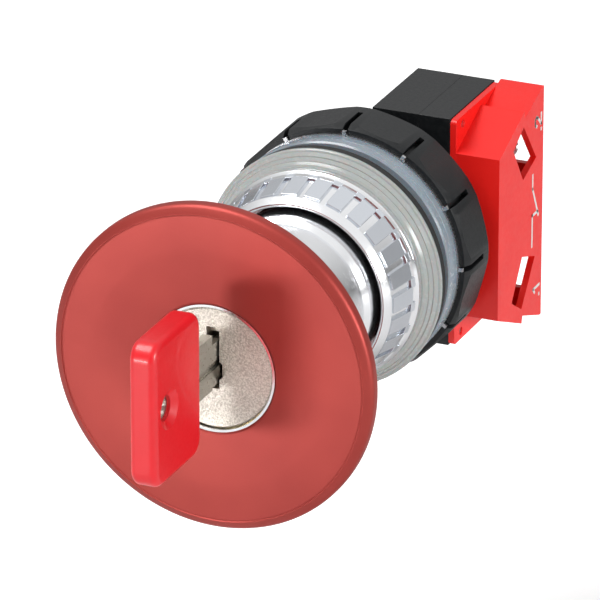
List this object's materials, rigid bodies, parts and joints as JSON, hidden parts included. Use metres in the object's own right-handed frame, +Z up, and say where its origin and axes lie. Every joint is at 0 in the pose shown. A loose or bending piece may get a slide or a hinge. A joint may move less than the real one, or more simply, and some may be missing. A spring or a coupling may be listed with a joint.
{
  "type": "emergency stop push button",
  "caption": "Panel-mounted emergency stop with a mushroom head, key release, threaded barrel, ring nut and a side-mounted contact block",
  "frame": {"origin": "on the button's axis, in the plane of the panel's front face", "axes": "+Y along the axis from the head into the panel, +Z up, +X to the right as seen from the front"},
  "size_m": [0.06, 0.1226, 0.06],
  "materials": {
    "red_aluminium": "satin anodised",
    "chrome": "polished",
    "satin_nickel": "satin, fine grained",
    "steel": "bright zinc",
    "spring_steel": "drawn wire",
    "brass": "machined",
    "nickel_silver": "stamped",
    "red_plastic": "smooth",
    "red_key_plastic": "smooth",
    "black_plastic": "fine textured",
    "black_rubber": "matte",
    "clear_gasket": "translucent, satin",
    "clear_washer": "translucent, satin",
    "white_plastic": "satin"
  },
  "bodies": {
    "base": {"barrel": "black_plastic", "bezel": "chrome", "carrier": "black_plastic", "carrier_cover": "black_plastic", "carrier_screws": "steel", "clamp_saddles": "steel", "contact_housing": "red_plastic", "contact_plate": "red_plastic", "contact_spring": "spring_steel", "cover_screws": "steel", "ear_pins": "steel", "front_gasket": "clear_gasket", "front_washer": "clear_washer", "lock_washer": "steel", "panel_gasket": "black_rubber", "rear_washer": "clear_washer", "return_spring": "spring_steel", "ring_nut": "black_plastic", "slider_spring": "spring_steel", "spring_seat": "steel", "terminal_1": "brass", "terminal_2": "brass", "terminal_screws": "steel", "wiper_seal": "black_rubber"},
    "head": {"mushroom_head": "red_aluminium", "stem": "chrome", "lock_sleeve": "chrome", "lock_barrel": "brass", "push_rod": "steel"},
    "plug": {"lock_plug": "satin_nickel", "lock_wafers": "brass", "plug_clip": "spring_steel", "release_shaft": "steel", "latch_cam": "steel"},
    "key": {"key_bow": "red_key_plastic", "key_blade": "nickel_silver"},
    "pin_top": {"latch_pin_top": "steel"},
    "pin_bottom": {"latch_pin_bottom": "steel"},
    "slider": {"slider": "white_plastic"},
    "contact": {"contact_carrier": "white_plastic", "moving_contact": "brass"}
  },
  "joints": [
    {"name": "head_travel", "type": "slide", "parent": "base", "child": "head", "axis": [0, 1, 0], "range_m": [0, 0.005], "stiffness_N_per_m": 1500, "deforming": ["return_spring"]},
    {"name": "key_turn", "type": "hinge", "parent": "head", "child": "plug", "pos_m": [0, -0.0504, 0], "axis": [0, 1, 0], "range_deg": [0, 45]},
    {"name": "key_withdraw", "type": "slide", "parent": "plug", "child": "key", "axis": [0, -1, 0], "range_m": [0, 0.026]},
    {"name": "latch_pin_top_slide", "type": "slide", "parent": "head", "child": "pin_top", "axis": [0, 0, -1], "range_m": [0, 0.0012]},
    {"name": "latch_pin_bottom_slide", "type": "slide", "parent": "head", "child": "pin_bottom", "axis": [0, 0, 1], "range_m": [0, 0.0012]},
    {"name": "slider_travel", "type": "slide", "parent": "base", "child": "slider", "axis": [0, 1, 0], "range_m": [0, 0.005], "deforming": ["slider_spring"]},
    {"name": "contact_travel", "type": "slide", "parent": "base", "child": "contact", "axis": [0, 1, 0], "range_m": [0, 0.005], "deforming": ["contact_spring"]}
  ],
  "couplings": [
    {"joint": "latch_pin_top_slide", "follows": "key_turn", "m_per_rad": 0.0015278},
    {"joint": "latch_pin_bottom_slide", "follows": "key_turn", "m_per_rad": 0.0015278},
    {"joint": "slider_travel", "follows": "head_travel", "ratio": 1},
    {"joint": "contact_travel", "follows": "head_travel", "ratio": 1}
  ]
}
